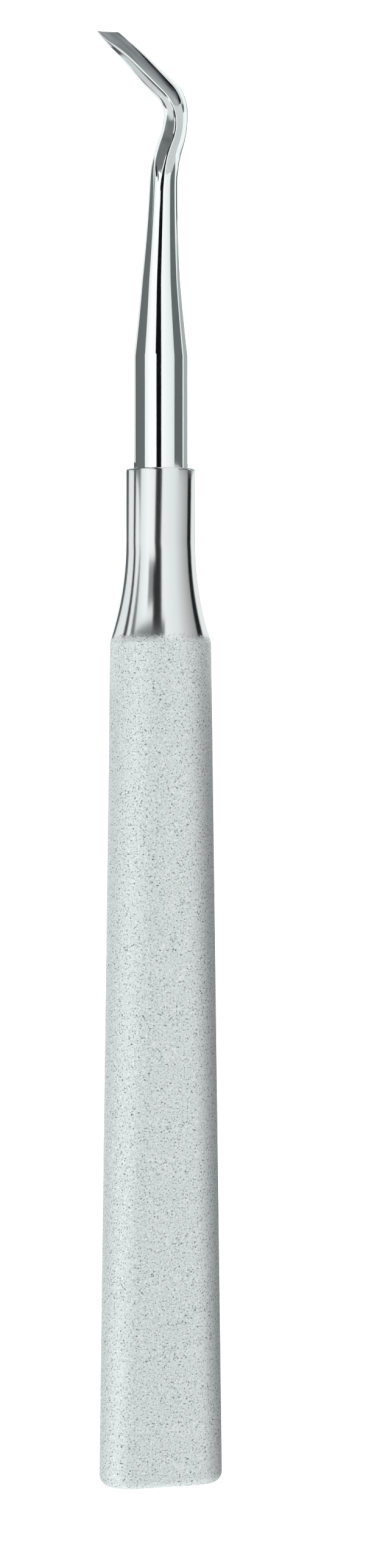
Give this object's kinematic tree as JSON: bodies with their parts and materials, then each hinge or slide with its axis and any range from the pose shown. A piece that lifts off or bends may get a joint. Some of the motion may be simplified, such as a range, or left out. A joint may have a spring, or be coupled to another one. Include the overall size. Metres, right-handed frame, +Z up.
{
  "type": "luxating elevator",
  "caption": "Dental luxating elevator with a hollow handle, round at the shoulder and flat at the butt, and a polished contra-angle gouge blade.",
  "frame": {"origin": "on the surface that the tool lies on, at the centre of its bounding box", "axes": "+Y along the tool from the butt to the tip, +Z up out of the flat back of the handle, +X to the right of the tool seen from above with the tip away from the viewer"},
  "size_m": [0.0143, 0.1624, 0.0113],
  "materials": {
    "blasted_steel": "sandblasted, fine satin grain, with a polished neck",
    "polished_steel": "mirror-polished stainless steel"
  },
  "bodies": {
    "root": {"handle": "blasted_steel", "working_end": "polished_steel"}
  },
  "joints": []
}
